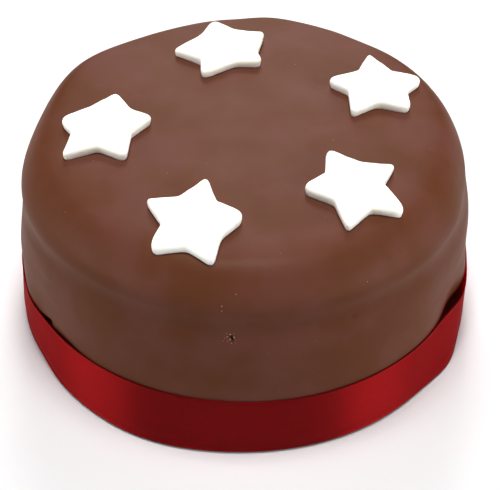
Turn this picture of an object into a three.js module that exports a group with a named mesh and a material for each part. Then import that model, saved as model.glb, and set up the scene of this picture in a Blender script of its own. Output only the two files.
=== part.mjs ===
// A round celebration cake covered in rolled chocolate sugarpaste, with thick white sugarpaste
// stars laid on its top and a red satin ribbon round its foot.
// Millimetres, +Z up. The cake stands on z = 0.

import * as THREE from 'three';

// ---------------------------------------------------------------- driving dimensions

const cake = {
  height: 80,         // to the edge of the flat top
  dome: 1,            // how much higher the middle of the top is
  rimRadius: 85.7,    // where the wall meets the rounded edge
  footRadius: 91.3,
  belly: 0.2,         // how far the wall stands out of its straight line half way up
  edgeInset: 12,      // the rounded edge, measured inwards at both sides
  edgeSoftening: 3,   // how much wider it is at the front, and narrower at the back
  edgeDrop: 17.5,     // and measured downwards
  edgePower: 1.75,    // 2 is an ellipse, and a lower one is closer to a bevel
};

const star = {
  thickness: 4,
  edgeRound: 1.5,     // radius of the soft upper edge
  tipRound: 3.6,      // how far from a point's corner its rounding starts
  tipLoss: 1.5,       // how much of a point the rounding takes off
  notchRound: 1.6,
  footInset: 0.2,     // the underside is a little smaller than the top
};

const ribbon = {
  width: 25,
  thickness: 0.4,
  lift: 0.8,          // clear of what the cake stands on
  lapFrom: 78,        // azimuths of the two ends, which lap at the back
  lapTo: 92,
  lapStep: 0.8,       // how far the outer end stands over the inner one
  lapRise: 12,        // degrees in which it climbs there
};

const gap = 0.4;      // between one piece and the next

// The middle of the whole cake's box, measured from the middle of its top.
const boxMiddle = new THREE.Vector2(-0.12, 0.25);

// Hand-rolled paste is never a true circle. Each lump or flat is a soft swelling of the
// outline: its azimuth and spread in degrees, and how far it stands out.
const rimLumps = [
  { at: 10, spread: 14, out: -0.8 },
  { at: 54, spread: 9, out: -1 },
  { at: 83, spread: 10, out: 1.7 },
  { at: 93, spread: 6, out: -0.8 },
  { at: 107, spread: 10, out: -0.6 },
  { at: 123, spread: 16, out: -1.7 },
  { at: 145, spread: 14, out: 1.8 },
  { at: 172, spread: 16, out: -1.6 },
  { at: 205, spread: 16, out: 0.9 },
  { at: 349, spread: 14, out: -2.6 },
];
const footLumps = [
  { at: 196, spread: 14, out: -0.5 },
  { at: 210, spread: 8, out: -0.9 },
  { at: 246, spread: 13, out: 0.2 },
  { at: 315, spread: 11, out: -0.5 },
  { at: 330, spread: 9, out: -1.8 },
  { at: 349, spread: 12, out: -0.9 },
];
// These are on the wall between: their height and how tall they are, in millimetres.
const wallLumps = [
  { at: 190, spread: 13, height: 37, tall: 10, out: 0.9 },
  { at: 343, spread: 12, height: 27, tall: 9, out: 1.4 },
  { at: 350, spread: 16, height: 50, tall: 15, out: 2.3 },
];

// Where the ribbon stands away from the paste, at its upper and at its lower edge.
const ribbonTopBows = [
  { at: 207, spread: 7, out: 1.2 },
  { at: 338, spread: 9, out: 1.1 },
];
const ribbonFootBows = [
  { at: 246, spread: 18, out: 1.4 },
  { at: 330, spread: 8, out: 3.2 },
];

// Each star: its middle, and its ten corners in turn, a point and a notch, clockwise from the
// point that lies furthest back. A corner is its azimuth and its reach from the star's middle.
const stars = {
  star_left: {
    middle: [-52.9, -5.5],
    corners: [[82, 20], [53, 15], [16, 18], [-22, 11], [-62, 19.5],
      [-95, 12.5], [-125, 21], [-164, 13], [164, 18], [116, 14]],
  },
  star_front: {
    middle: [-17.5, -58.3],
    corners: [[81, 21.5], [49, 12.5], [9, 18], [-33, 12], [-68, 20],
      [-97, 12.5], [-138, 18], [-172, 11.5], [149, 18.5], [112, 13]],
  },
  star_right: {
    middle: [39.5, -39.1],
    corners: [[112, 21.5], [81, 14], [39, 17.5], [8, 11.5], [-28, 20],
      [-69, 13.5], [-100, 22], [-135, 11.5], [-176, 19], [146, 13]],
  },
  star_back_right: {
    middle: [50.9, 23],
    corners: [[94, 20], [58, 12.5], [16, 18], [-15, 13], [-49, 18.5],
      [-87, 11], [-120, 19], [-159, 12.5], [170, 20], [123, 12.5]],
  },
  star_back_left: {
    middle: [-9, 48.6],
    corners: [[104, 18.5], [73, 13.5], [37, 19.5], [-8, 14], [-30, 18],
      [-73, 10], [-113, 20.5], [-138, 14], [-171, 20], [133, 14]],
  },
};

// ---------------------------------------------------------------- mesh fineness

const cakeSides = 90;
const cakeTopRings = [0.3, 0.55, 0.78, 0.92, 1];   // shares of the flat top's radius
const cakeEdgeSteps = 7;
const cakeWallSteps = 8;
const ribbonSides = 110;
const ribbonRows = 3;
const tipSteps = 4;
const notchSteps = 2;
const starEdgeSteps = 3;
const starTopRings = [0.87, 0.72, 0.5, 0.25];   // shares of the flat top's reach

// ---------------------------------------------------------------- shared helpers

const radians = THREE.MathUtils.degToRad;
const degrees = THREE.MathUtils.radToDeg;

function polar(azimuth, radius, z) {
  return new THREE.Vector3(radius * Math.cos(azimuth), radius * Math.sin(azimuth), z);
}

// The sum of a list of swellings at one azimuth, in radians.
function swelling(lumps, azimuth) {
  let sum = 0;
  for (const lump of lumps) {
    const away = THREE.MathUtils.euclideanModulo(degrees(azimuth) - lump.at + 180, 360) - 180;
    sum += lump.out * Math.exp(-((away / lump.spread) ** 2));
  }
  return sum;
}

// A closed body from a stack of rings with the same number of corners, each ring anticlockwise
// seen from the last end, and a single point that closes each end.
function loft(firstPoint, rings, lastPoint) {
  const points = [firstPoint, ...rings.flat(), lastPoint];
  const sides = rings[0].length;
  const last = points.length - 1;
  const corner = (ring, side) => 1 + ring * sides + (side % sides);
  const index = [];
  for (let side = 0; side < sides; side++) {
    index.push(0, corner(0, side + 1), corner(0, side));
    index.push(last, corner(rings.length - 1, side), corner(rings.length - 1, side + 1));
    for (let ring = 0; ring + 1 < rings.length; ring++) {
      const [a, b] = [corner(ring, side), corner(ring, side + 1)];
      const [c, d] = [corner(ring + 1, side), corner(ring + 1, side + 1)];
      index.push(a, b, d, a, d, c);
    }
  }
  const geometry = new THREE.BufferGeometry().setFromPoints(points);
  geometry.setIndex(index);
  geometry.computeVertexNormals();
  return geometry;
}

// ---------------------------------------------------------------- the cake's form

// The outline's swelling changes smoothly from that of the foot to that of the rim.
function outlineSwelling(azimuth, z) {
  const share = THREE.MathUtils.smoothstep(z, 0, cake.height);
  const onWall = wallLumps.map((lump) => (
    { ...lump, out: lump.out * Math.exp(-(((z - lump.height) / lump.tall) ** 2)) }));
  return THREE.MathUtils.lerp(swelling(footLumps, azimuth), swelling(rimLumps, azimuth), share)
    + swelling(onWall, azimuth);
}

function wallRadius(azimuth, z) {
  const share = z / (cake.height - cake.edgeDrop);
  const straight = THREE.MathUtils.lerp(cake.footRadius, cake.rimRadius, share);
  return straight + cake.belly * Math.sin(Math.PI * share) + outlineSwelling(azimuth, z);
}

function edgeInset(azimuth) {
  return cake.edgeInset - cake.edgeSoftening * Math.sin(azimuth);
}

function flatTopRadius(azimuth) {
  return cake.rimRadius - edgeInset(azimuth) + outlineSwelling(azimuth, cake.height);
}

// The height of the top at a place, down over the rounded edge too.
function topHeight(x, y) {
  const azimuth = Math.atan2(y, x);
  const flat = flatTopRadius(azimuth);
  const radius = Math.hypot(x, y);
  if (radius < flat) {
    return cake.height + cake.dome * (1 - (radius / flat) ** 2);
  }
  const past = Math.min((radius - flat) / edgeInset(azimuth), 1);
  const left = (1 - past ** cake.edgePower) ** (1 / cake.edgePower);
  return cake.height - cake.edgeDrop * (1 - left);
}

function cakeRing(radiusAt, heightAt) {
  return Array.from({ length: cakeSides }, (_, side) => {
    const azimuth = (side / cakeSides) * 2 * Math.PI;
    return polar(azimuth, radiusAt(azimuth), heightAt(azimuth));
  });
}

function cakeBody() {
  const rings = [];
  const wallTop = cake.height - cake.edgeDrop;
  for (let step = 0; step < cakeWallSteps; step++) {
    const z = (wallTop * step) / cakeWallSteps;
    rings.push(cakeRing((azimuth) => wallRadius(azimuth, z), () => z));
  }
  for (let step = 0; step < cakeEdgeSteps; step++) {
    const turn = (step / cakeEdgeSteps) * (Math.PI / 2);
    const z = wallTop + cake.edgeDrop * Math.sin(turn) ** (2 / cake.edgePower);
    const share = 1 - Math.cos(turn) ** (2 / cake.edgePower);
    rings.push(cakeRing((azimuth) => (
      cake.rimRadius - edgeInset(azimuth) * share + outlineSwelling(azimuth, z)), () => z));
  }
  for (const share of [...cakeTopRings].reverse()) {
    const z = cake.height + cake.dome * (1 - share ** 2);
    rings.push(cakeRing((azimuth) => flatTopRadius(azimuth) * share, () => z));
  }
  return loft(new THREE.Vector3(0, 0, 0), rings, new THREE.Vector3(0, 0, cake.height + cake.dome));
}

// ---------------------------------------------------------------- the ribbon

// How far out the ribbon's inner face runs at its lower edge (share 0) or upper edge (share 1).
function ribbonRadius(azimuth, share) {
  const z = ribbon.lift + ribbon.width * share;
  const bow = THREE.MathUtils.lerp(
    swelling(ribbonFootBows, azimuth), swelling(ribbonTopBows, azimuth), share);
  return wallRadius(azimuth, z) + gap + bow;
}

// The strip's section at one place along it: up its inner face and down its outer face.
function ribbonSection(turned) {
  const azimuth = radians(turned);
  const lapStart = ribbon.lapFrom + 360;
  const climb = ribbon.lapStep * THREE.MathUtils.smoothstep(turned, lapStart - ribbon.lapRise, lapStart);
  const [low, high] = [ribbonRadius(azimuth, 0), ribbonRadius(azimuth, 1)];
  const corner = (row, outward) => {
    const share = row / ribbonRows;
    const radius = THREE.MathUtils.lerp(low, high, share) + climb + outward;
    return polar(azimuth, radius, ribbon.lift + ribbon.width * share);
  };
  const rows = Array.from({ length: ribbonRows + 1 }, (_, row) => row);
  return [
    ...rows.map((row) => corner(row, 0)),
    ...rows.reverse().map((row) => corner(row, ribbon.thickness)),
  ];
}

// One strip, wound once round the foot, whose outer end laps over its inner end at the back.
function ribbonBody() {
  const sections = Array.from({ length: ribbonSides + 1 }, (_, side) => (
    ribbonSection(THREE.MathUtils.lerp(ribbon.lapFrom, ribbon.lapTo + 360, side / ribbonSides))));
  const middleOf = (section) => section.reduce((sum, point) => sum.add(point), new THREE.Vector3())
    .divideScalar(section.length);
  return loft(middleOf(sections[0]), sections, middleOf(sections.at(-1)));
}

// ---------------------------------------------------------------- the stars

// A corner's rounding is a short curve that starts and ends the same distance from it. Each
// straight side has a point half way, so that it can follow the cake's rounded edge.
function starOutline(corners) {
  const sharp = corners.map(([azimuth, reach], i) => {
    const lost = i % 2 === 0 ? star.tipLoss : 0;
    return new THREE.Vector2(reach + lost, 0).rotateAround(new THREE.Vector2(), radians(azimuth));
  });
  const outline = [];
  sharp.forEach((corner, i) => {
    const before = sharp[(i + sharp.length - 1) % sharp.length];
    const after = sharp[(i + 1) % sharp.length];
    const round = i % 2 === 0 ? star.tipRound : star.notchRound;
    const towards = (other) => corner.clone().add(other.clone().sub(corner).setLength(round));
    const curve = new THREE.QuadraticBezierCurve(towards(before), corner, towards(after));
    const points = curve.getPoints(i % 2 === 0 ? tipSteps : notchSteps);
    if (i > 0) outline.push(outline.at(-1).clone().lerp(points[0], 0.5));
    outline.push(...points);
  });
  outline.push(outline.at(-1).clone().lerp(outline[0], 0.5));
  return outline.reverse();   // anticlockwise seen from above
}

// The outline moved inwards by a distance, each corner along its own bisector.
function insetOutline(outline, distance) {
  return outline.map((point, i) => {
    const before = outline[(i + outline.length - 1) % outline.length];
    const after = outline[(i + 1) % outline.length];
    const along = after.clone().sub(before).normalize();
    return point.clone().add(new THREE.Vector2(-along.y, along.x).multiplyScalar(distance));
  });
}

function starBody({ middle, corners }) {
  const outline = starOutline(corners);
  const place = (flatPoint, above) => {
    const x = middle[0] + flatPoint.x;
    const y = middle[1] + flatPoint.y;
    return new THREE.Vector3(x, y, topHeight(x, y) + gap + above);
  };
  const ringOf = (points, above) => points.map((point) => place(point, above));
  const shrunk = (points, share) => points.map((point) => point.clone().multiplyScalar(share));

  const underside = insetOutline(outline, star.footInset);
  const shoulder = star.thickness - star.edgeRound;
  const rings = [];
  for (const share of [...starTopRings].reverse()) rings.push(ringOf(shrunk(underside, share), 0));
  rings.push(ringOf(underside, 0));
  rings.push(ringOf(outline, shoulder));
  let topOutline = outline;
  for (let step = 1; step <= starEdgeSteps; step++) {
    const turn = (step / starEdgeSteps) * (Math.PI / 2);
    topOutline = insetOutline(outline, star.edgeRound * (1 - Math.cos(turn)));
    rings.push(ringOf(topOutline, shoulder + star.edgeRound * Math.sin(turn)));
  }
  for (const share of starTopRings) rings.push(ringOf(shrunk(topOutline, share), star.thickness));
  const centre = new THREE.Vector2();
  return loft(place(centre, 0), rings, place(centre, star.thickness));
}

// ---------------------------------------------------------------- the whole

function piece(name, geometry, look) {
  const mesh = new THREE.Mesh(geometry, new THREE.MeshStandardMaterial(look));
  mesh.name = name;
  return mesh;
}

const chocolatePaste = { color: 0x6a4034, roughness: 0.55, metalness: 0 };
const whitePaste = { color: 0xf7f5ee, roughness: 0.7, metalness: 0 };
const redSatin = { color: 0x8e1218, roughness: 0.35, metalness: 0, side: THREE.DoubleSide };

const whole = new THREE.Group();
whole.add(piece('cake', cakeBody(), chocolatePaste));
whole.add(piece('ribbon', ribbonBody(), redSatin));
for (const [name, shape] of Object.entries(stars)) {
  whole.add(piece(name, starBody(shape), whitePaste));
}
whole.position.set(-boxMiddle.x, -boxMiddle.y, 0);

export default whole;
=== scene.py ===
"""A round celebration cake under rolled chocolate sugarpaste, with thick white sugarpaste stars on
its top and a red satin ribbon round its foot.

The script is in metres, +Z up, and the cake stands on z = 0. Lengths are written in millimetres,
as a multiple of MM, and azimuths in degrees, anticlockwise from +X.
"""

import math
import random
from functools import reduce

import bmesh
import bpy
import numpy as np
from mathutils import Matrix, Vector, noise
from mathutils.bvhtree import BVHTree


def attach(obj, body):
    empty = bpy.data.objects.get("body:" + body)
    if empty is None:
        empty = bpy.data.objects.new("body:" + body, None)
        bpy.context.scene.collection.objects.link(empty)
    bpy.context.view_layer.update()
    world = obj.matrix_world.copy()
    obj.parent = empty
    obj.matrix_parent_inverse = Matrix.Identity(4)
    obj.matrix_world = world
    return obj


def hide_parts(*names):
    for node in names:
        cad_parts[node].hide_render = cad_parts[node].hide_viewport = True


MM = 0.001

# ---------------------------------------------------------------- the cake's sizes

CAKE_AXIS = Vector((0.12, -0.25, 0)) * MM   # the middle of the top, seen from above
CAKE_HEIGHT = 80 * MM        # to the edge of the flat top
CAKE_DOME = 1 * MM           # how much higher the middle of the top is
RIM_RADIUS = 85.7 * MM       # where the wall meets the rounded edge
FOOT_RADIUS = 91.3 * MM
WALL_BELLY = 0.2 * MM        # how far the wall stands out of its straight line half way up
EDGE_INSET = 12 * MM         # the rounded edge, measured inwards at both sides
EDGE_SOFTENING = 3 * MM      # how much wider it is at the front, and narrower at the back
EDGE_DROP = 17.5 * MM        # and measured downwards
EDGE_POWER = 1.75            # 2 is an ellipse, and a lower one is closer to a bevel
EDGE_EASING = 4.5 * MM       # how softly the flat top runs over into it
FOOT_ROUND = 1.6 * MM        # the paste is trimmed at the foot with a soft lower edge
WALL_TOP = CAKE_HEIGHT - EDGE_DROP
FLAT_RADIUS = RIM_RADIUS - EDGE_INSET

# Hand-rolled paste is never a true circle. A swelling of the outline has its azimuth and its
# spread in degrees, and how far it stands out in millimetres.
RIM_LUMPS = [
    (10, 14, -0.8), (54, 9, -1), (83, 10, 1.7), (93, 6, -0.8), (107, 10, -0.6),
    (123, 16, -1.7), (145, 14, 1.8), (172, 16, -1.6), (205, 16, 0.9), (349, 14, -2.6),
]
FOOT_LUMPS = [
    (196, 14, -0.5), (210, 8, -0.9), (246, 13, 0.2), (315, 11, -0.5), (330, 9, -1.8),
    (349, 12, -0.9),
]
# Those on the wall also have a height and how tall they are, in millimetres.
WALL_LUMPS = [(190, 13, 37, 10, 0.9), (343, 12, 27, 9, 1.4), (350, 16, 50, 15, 2.3)]

# What the paste has and the ribbon doesn't follow.
PASTE_MARKS = [
    # Soft waves.
    (232, 9, 44, 9, 0.3), (252, 12, 38, 8, -0.25), (286, 10, 44, 10, 0.25), (306, 9, 52, 8, -0.25),
    # The fold under the rounded edge: a swelling over a shallow hollow.
    (235, 40, 68.5, 5, 0.65), (305, 40, 68.5, 5, 0.65),
    (235, 40, 57.5, 5, -0.95), (305, 40, 57.5, 5, -0.95),
    # It is drawn in behind the ribbon's upper edge, on the left and on the right, and it follows
    # the ribbon out beside the pit.
    (222, 5, 23.5, 4.5, -1), (336, 6.5, 24, 8, -2.6), (205, 7, 25.8, 7, 1.1),
    # A slit with crumbs round it, and a shallow dent beside it.
    (267.4, 0.4, 54.4, 0.7, -1.2), (267.8, 0.4, 53.4, 0.7, -1.2), (296.1, 0.8, 55.8, 0.8, -0.35),
]
# The torn pit over the ribbon has straight sides: the azimuths and heights of its edges.
PIT_SIDES = (210.2, 216.3)
PIT_HEIGHTS = (18 * MM, 28.3 * MM)
PIT_SLANT = 0.46 * MM        # how much lower its upper edge lies for each degree to the left
PIT_DEPTH = 2 * MM
PIT_LEFT_TURN = 2.5          # degrees in which its left side falls
PIT_RIGHT_TURN = 0.5         # and its right side
PIT_EDGE_RISE = 0.9 * MM     # height in which its upper and lower edges fall

# All over it the paste is faintly wavy: how far, and for each of two noises its scale and share.
PASTE_WAVES = 0.12 * MM
WAVE_NOISES = ((38.0, 1.0), (130.0, 0.35))
WAVES_START = 4 * MM         # the height at which they have their full depth

# ---------------------------------------------------------------- the ribbon's sizes

RIBBON_WIDTH = 25 * MM
RIBBON_THICKNESS = 0.3 * MM
RIBBON_SELVEDGE = 0.35 * MM   # how wide the thicker woven edge is
RIBBON_SELVEDGE_RISE = 0.1 * MM
RIBBON_LIFT = 0.8 * MM        # clear of what the cake stands on
RIBBON_FOOT_CLEARANCE = 0.35 * MM   # between the paste and the ribbon's lower edge
RIBBON_TOP_CLEARANCE = 0.15 * MM    # and its upper edge
RIBBON_MEAN_RADIUS = FOOT_RADIUS - 1 * MM
LAP_FROM = 78                 # azimuths of the two ends, which lap at the back
LAP_TO = 92 + 360
LAP_STEP = 0.8 * MM           # how far the outer end stands over the inner one
LAP_RISE = 12                 # degrees in which it climbs there
FOOT_TUCK = 0.5 * MM          # how far the lower edge is drawn in under the cake
FOOT_TUCK_SHARE = 0.24        # of the ribbon's width
# Where the ribbon stands away from the paste, at its upper and at its lower edge, as swellings.
RIBBON_TOP_BOWS = [(207, 7, 1.2), (337, 7.5, 1.1)]
RIBBON_FOOT_BOWS = [(246, 18, 1.4), (330, 8, 3.2)]
RIBBON_SLACK = 0.05 * MM      # how deep its ripples are
RIPPLES_ALONG = 9.0           # how fast they change over its length
RIPPLES_ACROSS = 0.35         # and over its width
RIBBON_LENGTH = math.radians(LAP_TO - LAP_FROM) * RIBBON_MEAN_RADIUS

# ---------------------------------------------------------------- the stars' sizes

STAR_CONTACT = 0.05 * MM     # between the paste and a star's underside
STAR_FOOT_INSET = 0.35       # millimetres by which the underside is smaller than the outline
STAR_SHOULDER = 2.3 * MM     # height of the widest place
STAR_ROUND = 1.8             # millimetres over which the upper edge rolls over
STAR_CROWN = 0.25 * MM       # how much higher the middle of its top is
STAR_SOFTENING = 8           # how often the rolled edge is evened out
TIP_LOSS = 0.42              # how much of a point its rounding takes off, as a share of it
# A star's cut surface is uneven in two ways: the size of each and how deep it goes. The seed
# gives each run the same unevenness.
STAR_UNEVENNESS = ((9 * MM, 0.32 * MM), (2.6 * MM, 0.07 * MM))
STAR_SEED = 5

# Each star: its middle, and its ten corners in turn, a point and a notch, clockwise from the
# point that lies furthest back. A corner is its azimuth, and its reach from the star's middle
# and the size of its rounding in millimetres.
STARS = {
    "left": ((-52.9, -5.5), [
        (82, 21, 3), (51, 14.5, 2.8), (18, 18, 3.6), (-20, 11.5, 0.8), (-62, 19.5, 4.4),
        (-94, 12.5, 2), (-127, 21, 3), (-164, 12, 1.6), (163, 16.5, 4.4), (116, 14, 1.4)]),
    "front": ((-17.5, -58.3), [
        (80, 22, 4.2), (49, 12.5, 1), (10, 17, 5), (-33, 12.5, 2), (-67, 19, 4),
        (-97, 12.5, 1.8), (-138, 17.5, 4.8), (-172, 10.5, 1.6), (147, 19, 2), (113, 13, 1.8)]),
    "right": ((39.5, -39.1), [
        (115, 21.5, 5.2), (80, 13.5, 1.8), (41, 18.5, 2), (10, 10, 1.2), (-37, 19.5, 5.8),
        (-70, 12.5, 1.4), (-101, 21, 3.6), (-136, 11.5, 1.2), (-176, 18, 5), (147, 13, 1)]),
    "back_right": ((50.9, 23), [
        (95, 22, 2.6), (58, 12.5, 1), (19, 18, 4.6), (-9, 12, 1.4), (-51, 17, 4.8),
        (-94, 11, 2.6), (-121, 20, 3.8), (-165, 12, 1), (170, 18.5, 5.8), (124, 12.5, 1)]),
    "back_left": ((-9, 48.6), [
        (105, 20.5, 4.8), (73, 14.5, 2.2), (37, 19.5, 1.8), (-12, 13.5, 1.8), (-33, 17, 4.8),
        (-66, 11, 1.8), (-115, 19.5, 5.6), (-138, 13, 1), (-176, 20, 1.6), (134, 14.5, 2.2)]),
}

# ---------------------------------------------------------------- small things on the paste

# Sugar grains that show: on the top by their place from the cake's axis in millimetres, and on
# the wall and the rounded edge by azimuth and height, each with its size in grain sizes.
GRAIN_SIZE = 0.3 * MM
TOP_GRAINS = [
    (-34.9, 13.1, 0.5), (-29.9, -28, 0.45), (-55.1, -22.6, 0.5), (-62.6, -47.8, 0.5),
    (19.3, 41.7, 0.55), (23.6, -16.6, 0.45), (28.3, -52.5, 0.5), (13.5, -61.6, 0.4),
    (6.6, -62.5, 0.4), (12.5, -70.8, 0.5), (-13.9, -23.8, 0.4), (11.8, -19.9, 0.4),
    (2.9, 30.4, 0.45),
]
WALL_GRAINS = [
    (268.5, 72, 0.8), (265.4, 68.3, 0.7), (265.4, 66.5, 0.8), (299.9, 69.5, 0.8),
]
RANDOM_GRAINS = 26
RANDOM_GRAIN_SIZES = (0.3, 0.6)
RANDOM_GRAIN_HEIGHTS = (30, 76)   # millimetres
# Crumbs round the slit, each with its size in crumb sizes.
CRUMB_SIZE = 0.28 * MM
SLIT_CRUMBS = [
    (267.3, 55.7, 1), (266.6, 54.8, 0.8), (267.2, 53.5, 1), (268.2, 54.6, 1), (266.1, 54.2, 0.6),
    (268.5, 53.6, 0.7), (266.7, 53.1, 0.7), (267.6, 52.2, 0.6), (268.6, 52.6, 0.5),
    (265.7, 53.2, 0.5), (268.1, 56, 0.5), (266.4, 56, 0.5),
]
GRAIN_ROUGHNESS = 1.1        # how fast their roundness changes, in their own radius
GRAIN_STRETCH = (0.7, 1.35)  # along each axis, from and to
PLACING_SEED = 11
GRAIN_SEED = 3               # how they are turned and stretched
CRUMB_SEED = 7

# ---------------------------------------------------------------- mesh fineness

WELD = 0.003 * MM            # points closer together than this are one
CAKE_COLUMNS = 690
FINEST_AZIMUTH = 245         # the columns are closest together here, where the marks are
COLUMN_CROWDING = 0.7        # by what share of the mean spacing
FOOT_ROWS = 4
# Up to which height, and how many rows on the way there.
WALL_ROWS = ((20 * MM, 8), (30 * MM, 24), (50 * MM, 16), (57 * MM, 14), (WALL_TOP, 4))
EDGE_ROWS = 32
TOP_ROWS = 36
EASING_SAMPLES = 12          # to each side
RIBBON_COLUMNS = 820
RIBBON_ROWS = 14
RIBBON_EDGE_ROWS = (0.004, 0.008, 0.013)   # shares of its width, counted from each edge
STAR_SIDE_STEPS = 6
STAR_UNDERSIDE_RINGS = (0.3, 0.6, 0.82, 0.94, 1)   # shares of the underside's reach
STAR_TOP_RINGS = 30
STAR_RING_CROWDING = 1.8     # how much closer together they are near the outline
STAR_OUTLINE_STEP = 0.45     # millimetres
CORNER_LENGTH = 1.6          # about how long a corner's curve is, in sizes of its rounding
CORNER_STEPS = 4             # at least

# ---------------------------------------------------------------- the looks

CHOCOLATE = {
    "Base": (0.136, 0.054, 0.0275, 1), "Cloud": (0.157, 0.0665, 0.0475, 1),
    "Cloud Scale": 36.0, "Grain Scale": 1400.0, "Gloss": 0.44, "Gloss Change": 0.16}
DRY_CRUMB = {
    "Base": (0.34, 0.21, 0.14, 1), "Cloud": (0.42, 0.28, 0.2, 1),
    "Cloud Scale": 400.0, "Grain Scale": 4000.0, "Gloss": 0.7, "Gloss Change": 0.1}
WHITE = {
    "Base": (0.91, 0.905, 0.84, 1), "Cloud": (0.93, 0.925, 0.88, 1),
    "Cloud Scale": 90.0, "Grain Scale": 2400.0, "Gloss": 0.62, "Gloss Change": 0.12}
SMOOTHER_DRAG = (60.0, 60.0, 260.0)     # how fast its streaks change along each axis
SATIN_TONES = (0.28, 0.012, 0.014, 1), (0.32, 0.014, 0.016, 1)
# Partly the selvedge's own tone, partly painted shade along the ribbon's upper and lower edges.
SATIN_SELVEDGE_AND_SHADE_TONE = (0.2, 0.008, 0.009, 1)
SATIN_EDGE = (0.5 * MM, 0.2 * MM)       # where it starts and is full, from the ribbon's edge
SATIN_ROUGHNESS = (0.42, 0.5)           # in the middle and at the edge
SATIN_THREADS = (30.0, 4200.0, 1.0)     # how fast they change along the ribbon and across it
SATIN_BANDS = (9.0, 420.0, 1.0)
SATIN_WEFT = 950.0
FLOOR_COLOUR = (0.74, 0.74, 0.745, 1)

# ---------------------------------------------------------------- the camera and the lights

CAMERA_PLACE = Vector((3.27, -378.72, 357.02)) * MM
CAMERA_AIM = Vector((2.14, 22.56, 0)) * MM
CAMERA_ROLL = 0.58           # degrees
CAMERA_LENS = 89.1           # in millimetres, as its sensor's width
CAMERA_SENSOR = 36
CAMERA_CLIP = (10 * MM, 20)

FLOOR_HALF = 2.5
# Each light's name, place, size in metres and power in watts.
LIGHTS = [
    ("back_softbox", (0, 1, 0.45), 0.6, 3),
    ("high_back_softbox", (0, 0.85, 0.85), 0.35, 4.5),
    ("overhead_softbox", (0, -0.05, 1.2), 0.4, 12.5),
    ("left_softbox", (-0.95, -0.05, 0.25), 0.6, 2.2),
    ("right_softbox", (0.95, -0.05, 0.25), 0.6, 2.2),
    ("left_front_softbox", (-0.86, -0.41, 0.25), 0.5, 3.9),
    ("right_front_softbox", (0.8, -0.52, 0.25), 0.5, 5.2),
]
LIGHTS_AIM = (0, 0, 40 * MM)
WORLD_STRENGTH = 0.05
VIEW_GAMMA = 0.8


# ================================================================ node trees


def connect(tree, node, inputs):
    """Gives each named input a value, or a link to another node's output."""
    for key, value in inputs.items():
        if isinstance(value, bpy.types.NodeSocket):
            tree.links.new(value, node.inputs[key])
        else:
            node.inputs[key].default_value = value


def add(tree, kind, inputs=None, **settings):
    """One new node, with its settings and its inputs."""
    made = tree.nodes.new(kind)
    for name, value in settings.items():
        setattr(made, name, value)
    connect(tree, made, inputs or {})
    return made


def maths(tree, operation, *values):
    return add(tree, "ShaderNodeMath", dict(enumerate(values)), operation=operation).outputs[0]


def sum_of(tree, *values):
    return reduce(lambda first, second: maths(tree, "ADD", first, second), values)


def product_of(tree, *values):
    return reduce(lambda first, second: maths(tree, "MULTIPLY", first, second), values)


def eased(tree, value, low, high, start=0.0, end=1.0):
    """Runs smoothly from start to end while the value goes from low to high."""
    inputs = {"Value": value, "From Min": low, "From Max": high, "To Min": start, "To Max": end}
    return add(tree, "ShaderNodeMapRange", inputs, interpolation_type="SMOOTHSTEP").outputs[0]


def mixed(tree, share, low, high, kind="FLOAT"):
    inputs = {"Factor": share, "A": low, "B": high}
    return add(tree, "ShaderNodeMix", inputs, data_type=kind).outputs["Result"]


def weighed(tree, first, share, second):
    """A share of the first value and the rest of the second."""
    return maths(tree, "MULTIPLY_ADD", first, share, product_of(tree, second, 1 - share))


def split(tree, vector):
    return add(tree, "ShaderNodeSeparateXYZ", {0: vector}).outputs


def combined(tree, x, y, z=0.0):
    return add(tree, "ShaderNodeCombineXYZ", {"X": x, "Y": y, "Z": z}).outputs[0]


def scaled(tree, vector, amount):
    inputs = {"Vector": vector, "Scale": amount}
    return add(tree, "ShaderNodeVectorMath", inputs, operation="SCALE").outputs[0]


def stretched(tree, vector, scale):
    return add(tree, "ShaderNodeMapping", {"Vector": vector, "Scale": scale}).outputs[0]


def noise_at(tree, place, scale, detail=1.0, **more):
    inputs = {"Vector": place, "Scale": scale, "Detail": detail, **more}
    return add(tree, "ShaderNodeTexNoise", inputs).outputs


def own_place(tree):
    return add(tree, "GeometryNodeInputPosition").outputs[0]


def moved(tree, mesh, **where):
    """The mesh with each point at a new Position, or shifted by an Offset."""
    return add(tree, "GeometryNodeSetPosition", {"Geometry": mesh, **where}).outputs[0]


def welded(tree, mesh):
    return add(tree, "GeometryNodeMergeByDistance", {"Geometry": mesh, "Distance": WELD}).outputs[0]


def new_tree(name, kind, inputs, outputs):
    """An empty group with named sockets, and what its inputs give and its outputs take. An input
    is its name, its type and its start value, which may be None."""
    tree = bpy.data.node_groups.new(name, kind)
    for socket_name, socket_type, start in inputs:
        socket = tree.interface.new_socket(socket_name, in_out="INPUT", socket_type=socket_type)
        if start is not None:
            socket.default_value = start
    for socket_name, socket_type in outputs:
        tree.interface.new_socket(socket_name, in_out="OUTPUT", socket_type=socket_type)
    given = tree.nodes.new("NodeGroupInput").outputs
    taken = tree.nodes.new("NodeGroupOutput").inputs
    return tree, given, taken


def new_rule(name, output, numbers=("Azimuth", "Height")):
    """An empty group that works out one number from others."""
    inputs = [(number, "NodeSocketFloat", None) for number in numbers]
    return new_tree(name, "GeometryNodeTree", inputs, [(output, "NodeSocketFloat")])


def new_shaper(name, *numbers):
    """An empty group that turns one geometry into another, in a material."""
    inputs = [("Geometry", "NodeSocketGeometry", None), *numbers,
              ("Material", "NodeSocketMaterial", None)]
    return new_tree(name, "GeometryNodeTree", inputs, [("Geometry", "NodeSocketGeometry")])


def ended(tree, taken, outputs):
    """The tree with its outputs linked and its nodes in order."""
    for name, value in outputs.items():
        tree.links.new(value, taken[name])
    arrange(tree)
    return tree


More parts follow.
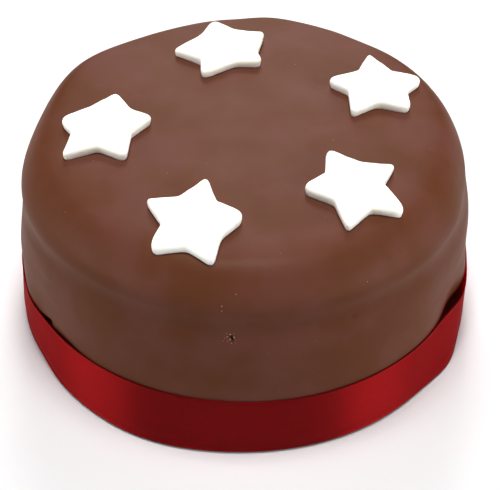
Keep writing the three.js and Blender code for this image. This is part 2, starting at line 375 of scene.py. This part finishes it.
def shaped(tree, mesh, material, taken):
    """Ends a shaper: smooth faces, instances realized and the material set."""
    smooth = add(tree, "GeometryNodeSetShadeSmooth", {"Geometry": mesh}).outputs[0]
    real = add(tree, "GeometryNodeRealizeInstances", {"Geometry": smooth}).outputs[0]
    painted = add(tree, "GeometryNodeSetMaterial", {"Geometry": real, "Material": material})
    return ended(tree, taken, {"Geometry": painted.outputs[0]})


def use_group(tree, group, inputs):
    kind = "ShaderNodeGroup" if tree.type == "SHADER" else "GeometryNodeGroup"
    return add(tree, kind, inputs, node_tree=group).outputs


def arrange(tree):
    """Lays the nodes out in a grid, in the order in which they were made."""
    for number, made in enumerate(tree.nodes):
        made.location = (220 * (number // 8), -260 * (number % 8))


def object_from(name, vertices, faces=()):
    mesh = bpy.data.meshes.new(name)
    mesh.from_pydata(vertices, (), faces)
    made = bpy.data.objects.new(name, mesh)
    bpy.context.scene.collection.objects.link(made)
    return made


def grown(name, points, tree, values, sizes=None):
    """A piece that a geometry tree makes from points, which may each have a size of their own, as
    a plain mesh with no modifier."""
    made = object_from(name, points)
    if sizes:
        made.data.attributes.new("size", "FLOAT", "POINT").data.foreach_set("value", sizes)
    modifier = made.modifiers.new(name, "NODES")
    modifier.node_group = tree
    for socket_name, value in values.items():
        modifier[tree.interface.items_tree[socket_name].identifier] = value
    graph = bpy.context.evaluated_depsgraph_get()
    mesh = bpy.data.meshes.new_from_object(made.evaluated_get(graph), depsgraph=graph)
    made.modifiers.clear()
    made.data = mesh
    mesh.name = name
    return made


def close_up(piece):
    """Fills what is open at a strip's cut ends and turns all faces outwards."""
    bm = bmesh.new()
    bm.from_mesh(piece.data)
    open_edges = [edge for edge in bm.edges if edge.is_boundary]
    if open_edges:
        bmesh.ops.holes_fill(bm, edges=open_edges)
    bmesh.ops.recalc_face_normals(bm, faces=bm.faces)
    bm.to_mesh(piece.data)
    bm.free()


# ---------------------------------------------------------------- the form's rules


def lump_rule():
    """How far one swelling stands out at an azimuth and a height."""
    numbers = ("Azimuth", "Height", "At", "Spread", "Middle", "Tall", "Out")
    tree, given, taken = new_rule("soft lump", "Out", numbers)
    away = maths(tree, "SUBTRACT", given["Azimuth"], given["At"])
    across = maths(tree, "DIVIDE", maths(tree, "WRAP", away, 180.0, -180.0), given["Spread"])
    above = maths(tree, "SUBTRACT", given["Height"], given["Middle"])
    along = maths(tree, "DIVIDE", above, given["Tall"])
    both = sum_of(tree, product_of(tree, across, across), product_of(tree, along, along))
    fall = maths(tree, "EXPONENT", product_of(tree, both, -1.0))
    return ended(tree, taken, {"Out": product_of(tree, fall, given["Out"])})


def add_lumps(tree, lump, lumps, azimuth, height):
    """The sum of a list of swellings, those without a height being the same all the way up."""
    parts = []
    for at, spread, *rest in lumps:
        middle, tall, out = rest if len(rest) == 3 else (0, 1e6, rest[0])
        parts.append(use_group(tree, lump, {
            "Azimuth": azimuth, "Height": height, "At": at, "Spread": spread,
            "Middle": middle * MM, "Tall": tall * MM, "Out": out * MM})["Out"])
    return sum_of(tree, *parts)


def outline_rule(lump):
    """How far the cake's outline stands out of its true circle."""
    tree, given, taken = new_rule("outline swelling", "Out")
    azimuth, height = given["Azimuth"], given["Height"]
    rim, foot, wall = (add_lumps(tree, lump, lumps, azimuth, height)
                       for lumps in (RIM_LUMPS, FOOT_LUMPS, WALL_LUMPS))
    share = eased(tree, height, 0.0, CAKE_HEIGHT)
    return ended(tree, taken, {"Out": sum_of(tree, mixed(tree, share, foot, rim), wall)})


def pit_rule():
    """The torn pit over the ribbon, as a depth."""
    tree, given, taken = new_rule("torn pit", "Depth")
    left, right = PIT_SIDES
    low, high = PIT_HEIGHTS
    turned = maths(tree, "WRAP", given["Azimuth"], 360.0, 0.0)
    slant = product_of(tree, maths(tree, "SUBTRACT", turned, right), PIT_SLANT)
    level = maths(tree, "SUBTRACT", given["Height"], slant)
    inside = product_of(tree, eased(tree, turned, left, left + PIT_LEFT_TURN),
                        eased(tree, turned, right - PIT_RIGHT_TURN, right, 1.0, 0.0))
    upright = product_of(tree, eased(tree, level, low, low + PIT_EDGE_RISE),
                         eased(tree, level, high - PIT_EDGE_RISE, high, 1.0, 0.0))
    return ended(tree, taken, {"Depth": product_of(tree, inside, upright, PIT_DEPTH)})


def wall_rule(outline):
    """The radius of the cake's wall."""
    tree, given, taken = new_rule("wall radius", "Radius")
    share = maths(tree, "DIVIDE", given["Height"], WALL_TOP)
    straight = mixed(tree, share, FOOT_RADIUS, RIM_RADIUS)
    belly = product_of(tree, maths(tree, "SINE", product_of(tree, share, math.pi)), WALL_BELLY)
    place = {"Azimuth": given["Azimuth"], "Height": given["Height"]}
    out = use_group(tree, outline, place)["Out"]
    return ended(tree, taken, {"Radius": sum_of(tree, straight, belly, out)})


def grid_of(tree, columns, rows):
    """A flat grid, and how far each of its points is along (0 to 1) and in which row it is."""
    mesh = add(tree, "GeometryNodeMeshGrid", {
        "Size X": 1.0, "Size Y": 1.0, "Vertices X": columns + 1, "Vertices Y": rows}).outputs["Mesh"]
    flat = split(tree, own_place(tree))
    along = sum_of(tree, flat["X"], 0.5)
    row = maths(tree, "ROUND", product_of(tree, sum_of(tree, flat["Y"], 0.5), rows - 1.0))
    return mesh, along, row


def section_point(tree, section, row):
    """The place of one of the section's points."""
    inputs = {"Geometry": section, "Value": own_place(tree), "Index": row}
    found = add(tree, "GeometryNodeSampleIndex", inputs, data_type="FLOAT_VECTOR", domain="POINT")
    return split(tree, found.outputs["Value"])


def round_axis(tree, azimuth, radius, height):
    """The place at an azimuth in degrees, a radius and a height about the cake's axis."""
    turn = maths(tree, "RADIANS", azimuth)
    x = maths(tree, "MULTIPLY_ADD", maths(tree, "COSINE", turn), radius, CAKE_AXIS.x)
    y = maths(tree, "MULTIPLY_ADD", maths(tree, "SINE", turn), radius, CAKE_AXIS.y)
    return combined(tree, x, y, height)


# ---------------------------------------------------------------- the cake


def steps(first, last, count):
    """Evenly spaced values after first, up to and with last."""
    return [first + (last - first) * step / count for step in range(1, count + 1)]


def top_height(inwards):
    """The height of the rounded edge and the top, by how far inwards it is in edge insets."""
    if inwards >= 1:
        share = max(0.0, 1 - (inwards - 1) * EDGE_INSET / FLAT_RADIUS)
        return CAKE_HEIGHT + CAKE_DOME * (1 - share ** 2)
    turn = math.acos((1 - max(inwards, 0.0)) ** (EDGE_POWER / 2))
    return WALL_TOP + EDGE_DROP * math.sin(turn) ** (2 / EDGE_POWER)


def eased_top(inwards):
    """That height averaged over its neighbourhood, which is widest on the top."""
    reach = EDGE_EASING / EDGE_INSET * min(1.0, inwards) ** 2
    total = weights = 0.0
    for step in range(-EASING_SAMPLES, EASING_SAMPLES + 1):
        away = 2 * step / EASING_SAMPLES
        weight = math.exp(-2 * away ** 2)
        total += weight * top_height(inwards + reach * away)
        weights += weight
    return total / weights


def cake_section():
    """The cake's half section, from the middle of its underside to the middle of its top: a
    radius, the share of the edge's softening and a height."""
    section = [(0.0, 0.0, 0.0), (0.5 * FOOT_RADIUS, 0.0, 0.0), (FOOT_RADIUS - FOOT_ROUND, 0.0, 0.0)]
    for turn in steps(0, math.pi / 2, FOOT_ROWS):
        radius = FOOT_RADIUS - FOOT_ROUND * (1 - math.sin(turn))
        section.append((radius, 0.0, FOOT_ROUND * (1 - math.cos(turn))))
    start = FOOT_ROUND
    for end, rows in WALL_ROWS:
        for height in steps(start, end, rows):
            share = height / WALL_TOP
            straight = FOOT_RADIUS + (RIM_RADIUS - FOOT_RADIUS) * share
            section.append((straight + WALL_BELLY * math.sin(math.pi * share), 0.0, height))
        start = end
    for turn in steps(0, math.pi / 2, EDGE_ROWS):
        inwards = 1 - math.cos(turn) ** (2 / EDGE_POWER)
        section.append((RIM_RADIUS - EDGE_INSET * inwards, inwards, eased_top(inwards)))
    for share in steps(1, 0, TOP_ROWS):
        inwards = 1 + FLAT_RADIUS * (1 - share) / EDGE_INSET
        section.append((FLAT_RADIUS * share, share, eased_top(inwards)))
    return section


def wavy(tree, mesh, depth):
    """The mesh with faint waves all over it, which fade out at its foot."""
    here = own_place(tree)
    total = 0.0
    for scale, share in WAVE_NOISES:
        wave = maths(tree, "SUBTRACT", noise_at(tree, here, scale)["Fac"], 0.5)
        total = maths(tree, "MULTIPLY_ADD", wave, 2 * share, total)
    above_foot = eased(tree, split(tree, here)["Z"], 0.0, WAVES_START)
    normal = add(tree, "GeometryNodeInputNormal").outputs[0]
    return moved(tree, mesh, Offset=scaled(tree, normal, product_of(tree, total, depth, above_foot)))


def cake_tree(lump, outline, pit, rows):
    """Turns the section round the axis and gives it the swellings, the marks, the pit and a faint
    unevenness."""
    tree, given, taken = new_shaper("hand rolled cake", ("Waves", "NodeSocketFloat", PASTE_WAVES))
    mesh, along, row = grid_of(tree, CAKE_COLUMNS, rows)
    point = section_point(tree, given["Geometry"], row)
    swing = maths(tree, "SINE", product_of(tree, along, 2 * math.pi))
    crowded = product_of(tree, swing, -math.degrees(COLUMN_CROWDING))
    even = maths(tree, "MULTIPLY_ADD", along, 360.0, crowded)
    azimuth = sum_of(tree, even, float(FINEST_AZIMUTH))
    radius, height = point["X"], point["Z"]
    reach = {"Azimuth": azimuth, "Height": height}
    swelling = use_group(tree, outline, reach)["Out"]
    marks = add_lumps(tree, lump, PASTE_MARKS, azimuth, height)
    hollow = use_group(tree, pit, reach)["Depth"]
    forwards = maths(tree, "SINE", maths(tree, "RADIANS", azimuth))
    softening = product_of(tree, forwards, point["Y"], EDGE_SOFTENING)
    inwards = maths(tree, "MINIMUM", maths(tree, "DIVIDE", radius, FLAT_RADIUS), 1.0)
    out = maths(tree, "MULTIPLY_ADD", sum_of(tree, swelling, marks), inwards, radius)
    out = maths(tree, "SUBTRACT", sum_of(tree, out, softening), hollow)
    turned = moved(tree, mesh, Position=round_axis(tree, azimuth, out, height))
    return shaped(tree, wavy(tree, welded(tree, turned), given["Waves"]), given["Material"], taken)


def make_cake(lump, outline, material):
    section = cake_section()
    tree = cake_tree(lump, outline, pit_rule(), len(section))
    cake = grown("chocolate_cake", section, tree, {"Material": material})
    close_up(cake)
    return cake


# ---------------------------------------------------------------- the ribbon


def ribbon_section():
    """The strip's section, once round: x is outwards and z is the share of its width."""
    def thickness(share):
        from_edge = min(share, 1 - share) * RIBBON_WIDTH
        near = max(0.0, 1 - from_edge / RIBBON_SELVEDGE)
        return RIBBON_THICKNESS + RIBBON_SELVEDGE_RISE * math.sin(math.pi * near) ** 2

    shares = list(RIBBON_EDGE_ROWS) + [row / RIBBON_ROWS for row in range(1, RIBBON_ROWS)]
    shares += [1 - share for share in reversed(RIBBON_EDGE_ROWS)]
    inner = [(0.0, 0.0, share) for share in shares]
    outer = [(thickness(share), 0.0, share) for share in shares]
    top = (RIBBON_THICKNESS / 2, 0.0, 1.0)
    foot = (RIBBON_THICKNESS / 2, 0.0, 0.0)
    return [foot] + inner + [top] + outer[::-1] + [foot]


def ribbon_tree(lump, wall, rows):
    """Winds the strip once round the foot, with its outer end lapped over its inner end."""
    tree, given, taken = new_shaper("wound ribbon", ("Slack", "NodeSocketFloat", RIBBON_SLACK))
    mesh, along, row = grid_of(tree, RIBBON_COLUMNS, rows)
    point = section_point(tree, given["Geometry"], row)
    share = point["Z"]
    azimuth = maths(tree, "MULTIPLY_ADD", along, float(LAP_TO - LAP_FROM), float(LAP_FROM))
    edges = []
    for height, clearance, bows in (
            (RIBBON_LIFT, RIBBON_FOOT_CLEARANCE, RIBBON_FOOT_BOWS),
            (RIBBON_LIFT + RIBBON_WIDTH, RIBBON_TOP_CLEARANCE, RIBBON_TOP_BOWS)):
        paste = use_group(tree, wall, {"Azimuth": azimuth, "Height": height})["Radius"]
        edges.append(sum_of(tree, paste, clearance, add_lumps(tree, lump, bows, azimuth, 0.0)))
    lapped = float(LAP_FROM + 360)
    climb = eased(tree, azimuth, lapped - LAP_RISE, lapped, 0.0, LAP_STEP)
    tuck = eased(tree, share, 0.0, FOOT_TUCK_SHARE, -FOOT_TUCK, 0.0)
    on_strip = combined(
        tree, product_of(tree, along, RIPPLES_ALONG), product_of(tree, share, RIPPLES_ACROSS))
    slack = product_of(tree, noise_at(tree, on_strip, 2.0)["Fac"], 2.0, given["Slack"])
    radius = sum_of(tree, mixed(tree, share, *edges), climb, tuck, slack, point["X"])
    height = maths(tree, "MULTIPLY_ADD", share, RIBBON_WIDTH, RIBBON_LIFT)
    unrolled = combined(
        tree, product_of(tree, along, RIBBON_LENGTH), product_of(tree, share, RIBBON_WIDTH))
    mapped = add(tree, "GeometryNodeStoreNamedAttribute",
                 {"Geometry": mesh, "Name": "UVMap", "Value": unrolled},
                 data_type="FLOAT2", domain="CORNER").outputs[0]
    wound = moved(tree, mapped, Position=round_axis(tree, azimuth, radius, height))
    return shaped(tree, welded(tree, wound), given["Material"], taken)


def make_ribbon(lump, wall, material):
    section = ribbon_section()
    tree = ribbon_tree(lump, wall, len(section))
    ribbon = grown("satin_ribbon", section, tree, {"Material": material})
    close_up(ribbon)
    return ribbon


# ---------------------------------------------------------------- the stars


def rounded_corner(before, corner, after, size):
    """A short curve that starts and ends the same distance from the corner."""
    start = corner + (before - corner).normalized() * size
    end = corner + (after - corner).normalized() * size
    count = max(CORNER_STEPS, round(CORNER_LENGTH * size / STAR_OUTLINE_STEP))
    points = []
    for step in range(count + 1):
        share = step / count
        points.append(start * (1 - share) ** 2 + corner * 2 * share * (1 - share) + end * share ** 2)
    return points


def straight_between(start, end):
    count = max(1, round((end - start).length / STAR_OUTLINE_STEP))
    return [start.lerp(end, step / count) for step in range(1, count)]


def star_outline(corners):
    """The star's outline in millimetres about its middle, anticlockwise, in small even steps."""
    sharp = []
    for number, (azimuth, reach, size) in enumerate(corners):
        lost = size * TIP_LOSS if number % 2 == 0 else 0
        turn = math.radians(azimuth)
        sharp.append(Vector((math.cos(turn), math.sin(turn))) * (reach + lost))
    outline = []
    for number, corner in enumerate(sharp):
        following = sharp[(number + 1) % len(sharp)]
        arc = rounded_corner(sharp[number - 1], corner, following, corners[number][2])
        if outline:
            outline += straight_between(outline[-1], arc[0])
        outline += arc
    outline += straight_between(outline[-1], outline[0])
    return outline[::-1]


def inset(outline, distance):
    """The outline moved inwards, each point along its own bisector."""
    inner = []
    for number, point in enumerate(outline):
        along = (outline[(number + 1) % len(outline)] - outline[number - 1]).normalized()
        inner.append(point + Vector((-along.y, along.x)) * distance)
    return inner


def distances(points, outline):
    """How far each of the points lies from the closed outline."""
    points = np.array(points)[:, None]
    start = np.array(outline)
    along = np.roll(start, -1, axis=0) - start
    share = ((points - start) * along).sum(axis=2) / (along ** 2).sum(axis=1)
    nearest = start + along * np.clip(share, 0, 1)[..., None]
    return np.linalg.norm(points - nearest, axis=2).min(axis=1)


def star_rings(outline):
    """Rings from the middle of the underside to the middle of the top: each is its points in
    millimetres and their heights above the paste in metres. The upper edge rolls over in a
    quarter circle, which a point is too narrow to finish, so that it ends lower."""
    rings = []
    underside = inset(outline, STAR_FOOT_INSET)
    for share in STAR_UNDERSIDE_RINGS:
        rings.append(([point * share for point in underside], [0.0] * len(outline)))
    for share in steps(0, 1, STAR_SIDE_STEPS):
        flare = STAR_FOOT_INSET * (1 - math.sin(math.pi / 2 * share))
        rings.append((inset(outline, flare), [STAR_SHOULDER * share] * len(outline)))

    shares = [1 - share ** STAR_RING_CROWDING for share in steps(0, 1, STAR_TOP_RINGS)]
    tops = [[point * share for point in outline] for share in shares[:-1]]
    flat = np.array([distances(top, outline) for top in tops])
    rolled = np.sqrt(1 - (1 - np.clip(flat / STAR_ROUND, 0, 1)) ** 2)
    for _ in range(STAR_SOFTENING):
        around = (np.roll(rolled, 1, axis=1) + np.roll(rolled, -1, axis=1)) / 2
        outer = np.vstack([rolled[:1], rolled[:-1]])
        inner = np.vstack([rolled[1:], rolled[-1:]])
        rolled[1:] = (rolled / 2 + around / 4 + (outer + inner) / 8)[1:]
    for top, share, row in zip(tops, shares, rolled):
        crown = STAR_CROWN * (1 - share ** 2)
        rings.append((top, list(STAR_SHOULDER + STAR_ROUND * MM * row + crown)))
    return rings


def loft(rings, first, last):
    """Vertices and faces of a closed body from rings with as many points each."""
    vertices = [first, *[point for ring in rings for point in ring], last]
    sides = len(rings[0])
    faces = []

    def corner(ring, side):
        return 1 + ring * sides + side % sides

    for side in range(sides):
        faces.append((0, corner(0, side + 1), corner(0, side)))
        end = len(rings) - 1
        faces.append((len(vertices) - 1, corner(end, side), corner(end, side + 1)))
        for ring in range(end):
            faces.append((corner(ring, side), corner(ring, side + 1),
                          corner(ring + 1, side + 1), corner(ring + 1, side)))
    return vertices, faces


def uneven(place):
    """The small shift of a hand-cut surface, the same for the same place."""
    return sum((noise.noise_vector(place / size) * depth for size, depth in STAR_UNEVENNESS), Vector())


def make_star(name, middle, corners, surface_height, material):
    centre = Vector(middle)

    def place(flat, above):
        x, y = (centre + flat) * MM
        point = Vector((x, y, surface_height(x, y) + STAR_CONTACT + above))
        return point + uneven(point) if above > 0 else point

    rings = star_rings(star_outline(corners))
    top = STAR_SHOULDER + STAR_ROUND * MM + STAR_CROWN
    solid = loft([[place(*point) for point in zip(*ring)] for ring in rings],
                 place(Vector((0, 0)), 0.0), place(Vector((0, 0)), top))
    star = object_from(name, *solid)
    star.data.shade_smooth()
    star.data.materials.append(material)
    return star


# ---------------------------------------------------------------- grains and crumbs


def random_value(tree, seed, low, high):
    inputs = {"Min": (low,) * 3, "Max": (high,) * 3, "Seed": seed}
    return add(tree, "FunctionNodeRandomValue", inputs, data_type="FLOAT_VECTOR").outputs[0]


def grain_tree():
    """A small lump at each point, each turned and stretched its own way."""
    tree, given, taken = new_shaper("scattered grains", ("Size", "NodeSocketFloat", GRAIN_SIZE),
                                    ("Seed", "NodeSocketInt", 0))
    ball = add(tree, "GeometryNodeMeshIcoSphere", {"Radius": 1.0, "Subdivisions": 2}).outputs["Mesh"]
    rough = noise_at(tree, own_place(tree), GRAIN_ROUGHNESS)["Color"]
    push = add(tree, "ShaderNodeVectorMath", {0: rough, 1: (0.5,) * 3}, operation="SUBTRACT").outputs[0]
    lumpy = moved(tree, ball, Offset=push)
    spin = random_value(tree, given["Seed"], 0.0, math.tau)
    stretch = random_value(tree, sum_of(tree, given["Seed"], 1.0), *GRAIN_STRETCH)
    own = add(tree, "GeometryNodeInputNamedAttribute", {"Name": "size"}, data_type="FLOAT")
    size = product_of(tree, own.outputs["Attribute"], given["Size"])
    placed = add(tree, "GeometryNodeInstanceOnPoints", {
        "Points": given["Geometry"], "Instance": lumpy, "Rotation": spin,
        "Scale": scaled(tree, stretch, size)}).outputs[0]
    return shaped(tree, placed, given["Material"], taken)


def grain_places(on_top, on_wall):
    """The places and sizes of the grains that show, and of more all round by a seeded draw."""
    places = [(on_top(x * MM, y * MM), size) for x, y, size in TOP_GRAINS]
    places += [(on_wall(azimuth, height * MM), size) for azimuth, height, size in WALL_GRAINS]
    draw = random.Random(PLACING_SEED)
    for _ in range(RANDOM_GRAINS):
        azimuth = draw.uniform(0, 360)
        size = draw.uniform(*RANDOM_GRAIN_SIZES)
        if draw.random() < 0.5:
            reach = FLAT_RADIUS * math.sqrt(draw.random())
            turn = math.radians(azimuth)
            places.append((on_top(reach * math.cos(turn), reach * math.sin(turn)), size))
        else:
            places.append((on_wall(azimuth, draw.uniform(*RANDOM_GRAIN_HEIGHTS) * MM), size))
    return zip(*places)


def crumb_places(on_wall):
    """The places and sizes of the crumbs round the slit in the front wall."""
    return zip(*[(on_wall(azimuth, height * MM), size) for azimuth, height, size in SLIT_CRUMBS])


# ================================================================ materials


def paste_group():
    """Rolled paste, shared by the brown and the white one: soft clouds of colour, the faint
    drag of the smoother and a fine grain, for colour, gloss and relief."""
    tree, given, taken = new_tree(
        "rolled paste", "ShaderNodeTree",
        [("Base", "NodeSocketColor", None), ("Cloud", "NodeSocketColor", None),
         ("Cloud Scale", "NodeSocketFloat", None), ("Grain Scale", "NodeSocketFloat", None),
         ("Gloss", "NodeSocketFloat", None), ("Gloss Change", "NodeSocketFloat", None)],
        [("Color", "NodeSocketColor"), ("Roughness", "NodeSocketFloat"), ("Height", "NodeSocketFloat")])
    place = add(tree, "ShaderNodeTexCoord").outputs["Object"]
    cloud = noise_at(tree, place, given["Cloud Scale"], 3.0, Roughness=0.55)["Fac"]
    streak = noise_at(tree, stretched(tree, place, SMOOTHER_DRAG), 1.0, 2.0)["Fac"]
    grain = noise_at(tree, place, given["Grain Scale"], 2.0, Roughness=0.6)["Fac"]
    share = eased(tree, cloud, 0.35, 0.65)
    change = maths(tree, "SUBTRACT", sum_of(tree, streak, cloud), 1.0)
    return ended(tree, taken, {
        "Color": mixed(tree, share, given["Base"], given["Cloud"], "RGBA"),
        "Roughness": maths(tree, "MULTIPLY_ADD", change, given["Gloss Change"], given["Gloss"]),
        "Height": weighed(tree, streak, 0.7, grain)})


def new_material(name):
    material = bpy.data.materials.new(name)
    material.use_nodes = True
    tree = material.node_tree
    return material, tree, tree.nodes["Principled BSDF"]


def bumped(tree, height, distance, strength=1.0):
    return add(tree, "ShaderNodeBump", {
        "Height": height, "Distance": distance, "Strength": strength}).outputs[0]


def paste_material(name, paste, look, grain_depth, more):
    """A material of rolled paste: its look goes to the group and what more it has to the shader."""
    material, tree, shader = new_material(name)
    surface = use_group(tree, paste, look)
    connect(tree, shader, {
        "Base Color": surface["Color"], "Roughness": surface["Roughness"],
        "Normal": bumped(tree, surface["Height"], grain_depth), **more})
    arrange(tree)
    return material


def red_satin():
    """Satin with its threads along the strip: fine streaks, a faint crossing weave and a
    plainer selvedge along both edges, darker there partly for its weave and partly as painted
    shade of the thin dark line where the ribbon meets the paste and the floor."""
    material, tree, shader = new_material("red_satin")
    place = add(tree, "ShaderNodeUVMap", uv_map="UVMap").outputs[0]
    across = split(tree, place)["Y"]
    thread = noise_at(tree, stretched(tree, place, SATIN_THREADS), 1.0, 2.0)["Fac"]
    band = noise_at(tree, stretched(tree, place, SATIN_BANDS), 1.0, 2.0)["Fac"]
    weft = add(tree, "ShaderNodeTexWave", {"Vector": place, "Scale": SATIN_WEFT, "Distortion": 0.6},
               bands_direction="X").outputs["Fac"]
    middle = maths(tree, "ABSOLUTE", maths(tree, "SUBTRACT", across, RIBBON_WIDTH / 2))
    edge = eased(tree, middle, *(RIBBON_WIDTH / 2 - inwards for inwards in SATIN_EDGE))
    tone = eased(tree, weighed(tree, thread, 0.7, band), 0.25, 0.75)
    colour = mixed(tree, tone, *SATIN_TONES, "RGBA")
    connect(tree, shader, {
        # The darker selvedge tone is partly painted shade of the dark line along the ribbon's edges.
        "Base Color": mixed(tree, edge, colour, SATIN_SELVEDGE_AND_SHADE_TONE, "RGBA"),
        "Roughness": mixed(tree, edge, *SATIN_ROUGHNESS),
        "Normal": bumped(tree, weighed(tree, weft, 0.25, thread), 0.03 * MM, 0.6),
        "Metallic": 0.55, "Specular IOR Level": 0.1, "Specular Tint": (1, 0.2, 0.2, 1),
        # It is thin enough for red light to reach the paste behind it.
        "Subsurface Weight": 1, "Subsurface Radius": (1.0, 0.02, 0.02), "Subsurface Scale": 6 * MM,
        "Anisotropic": 0.95, "Anisotropic Rotation": 0.25,
        "Tangent": add(tree, "ShaderNodeTangent", direction_type="UV_MAP", uv_map="UVMap").outputs[0]})
    arrange(tree)
    return material


def plain_floor():
    material, tree, shader = new_material("pale_floor")
    connect(tree, shader, {"Base Color": FLOOR_COLOUR, "Roughness": 0.6})
    return material


# ================================================================ the stage


def make_floor(material):
    ends = ((-FLOOR_HALF, -FLOOR_HALF), (FLOOR_HALF, -FLOOR_HALF), (FLOOR_HALF, FLOOR_HALF),
            (-FLOOR_HALF, FLOOR_HALF))
    floor = object_from("floor", [(x, y, 0) for x, y in ends], [(0, 1, 2, 3)])
    floor.data.materials.append(material)


def aimed(place, aim):
    """The turn of a lamp or a camera that looks from its place at the aim."""
    return (Vector(aim) - Vector(place)).to_track_quat("-Z", "Y")


def make_lights():
    for name, place, size, power in LIGHTS:
        lamp = bpy.data.lights.new(name, "AREA")
        lamp.shape = "SQUARE"
        lamp.size = size
        lamp.energy = power
        made = bpy.data.objects.new(name, lamp)
        made.location = place
        made.rotation_euler = aimed(place, LIGHTS_AIM).to_euler()
        bpy.context.scene.collection.objects.link(made)
    world = bpy.data.worlds.new("studio")
    bpy.context.scene.world = world
    world.use_nodes = True
    background = world.node_tree.nodes["Background"]
    background.inputs["Color"].default_value = (1, 1, 1, 1)
    background.inputs["Strength"].default_value = WORLD_STRENGTH


def make_camera():
    lens = bpy.data.cameras.new("camera")
    lens.sensor_fit = "HORIZONTAL"
    lens.sensor_width = CAMERA_SENSOR
    lens.lens = CAMERA_LENS
    lens.clip_start, lens.clip_end = CAMERA_CLIP
    camera = bpy.data.objects.new("camera", lens)
    bpy.context.scene.collection.objects.link(camera)
    roll = Matrix.Rotation(math.radians(CAMERA_ROLL), 4, "Z")
    turn = aimed(CAMERA_PLACE, CAMERA_AIM).to_matrix().to_4x4()
    camera.matrix_world = Matrix.Translation(CAMERA_PLACE) @ turn @ roll
    bpy.context.scene.camera = camera


# ================================================================ the whole


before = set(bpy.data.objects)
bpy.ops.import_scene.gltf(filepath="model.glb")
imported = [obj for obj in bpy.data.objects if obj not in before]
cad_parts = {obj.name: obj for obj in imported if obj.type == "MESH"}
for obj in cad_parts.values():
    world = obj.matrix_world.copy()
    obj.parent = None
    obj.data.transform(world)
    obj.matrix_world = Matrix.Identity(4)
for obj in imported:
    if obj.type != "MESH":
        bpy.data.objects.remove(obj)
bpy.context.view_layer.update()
make_camera()

paste = paste_group()
chocolate = paste_material(
    "chocolate_paste", paste, CHOCOLATE, 0.06 * MM, {"Specular IOR Level": 0.08})
white = paste_material("white_paste", paste, WHITE, 0.05 * MM, {
    "Subsurface Weight": 0.8, "Subsurface Radius": (1.0, 1.0, 0.8), "Subsurface Scale": 2 * MM})
satin = red_satin()
# Sugar and dry crumbs of the paste.
pale = paste_material("pale_crumb", paste, DRY_CRUMB, 0.04 * MM, {"Specular IOR Level": 0.2})

lump = lump_rule()
outline = outline_rule(lump)
cake = make_cake(lump, outline, chocolate)
ribbon = make_ribbon(lump, wall_rule(outline), satin)

cake_surface = BVHTree.FromObject(cake, bpy.context.evaluated_depsgraph_get())


def on_top(x, y):
    """The place on the cake's top or rounded edge, below a point seen from above."""
    hit = cake_surface.ray_cast(Vector((x, y, 1)) + CAKE_AXIS, Vector((0, 0, -1)))[0]
    return hit if hit is not None else Vector((x, y, WALL_TOP)) + CAKE_AXIS


def on_wall(azimuth, height):
    turn = math.radians(azimuth)
    outwards = Vector((math.cos(turn), math.sin(turn), 0))
    return cake_surface.ray_cast(CAKE_AXIS + outwards + Vector((0, 0, height)), -outwards)[0]


def surface_height(x, y):
    return on_top(x - CAKE_AXIS.x, y - CAKE_AXIS.y).z


noise.seed_set(STAR_SEED)
stars = {}
for key, (middle, corners) in STARS.items():
    centre = Vector(middle) + Vector((CAKE_AXIS.x, CAKE_AXIS.y)) / MM
    stars[key] = make_star(f"sugar_star_{key}", centre, corners, surface_height, white)

grains = grain_tree()
places, sizes = grain_places(on_top, on_wall)
values = {"Size": GRAIN_SIZE, "Seed": GRAIN_SEED, "Material": pale}
sugar = grown("sugar_grains", places, grains, values, sizes)
places, sizes = crumb_places(on_wall)
values = {"Size": CRUMB_SIZE, "Seed": CRUMB_SEED, "Material": pale}
crumbs = grown("paste_crumbs", places, grains, values, sizes)

for piece, node, slot in (
        (cake, "cake", "chocolate_paste"), (ribbon, "ribbon", "red_satin"),
        *((stars[key], f"star_{key}", "white_paste") for key in STARS),
        (sugar, None, "white_paste"), (crumbs, None, "chocolate_paste")):
    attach(piece, "root")
    if node:
        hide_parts(node)

make_floor(plain_floor())
make_lights()
bpy.context.scene.view_settings.view_transform = "Standard"
bpy.context.scene.view_settings.gamma = VIEW_GAMMA
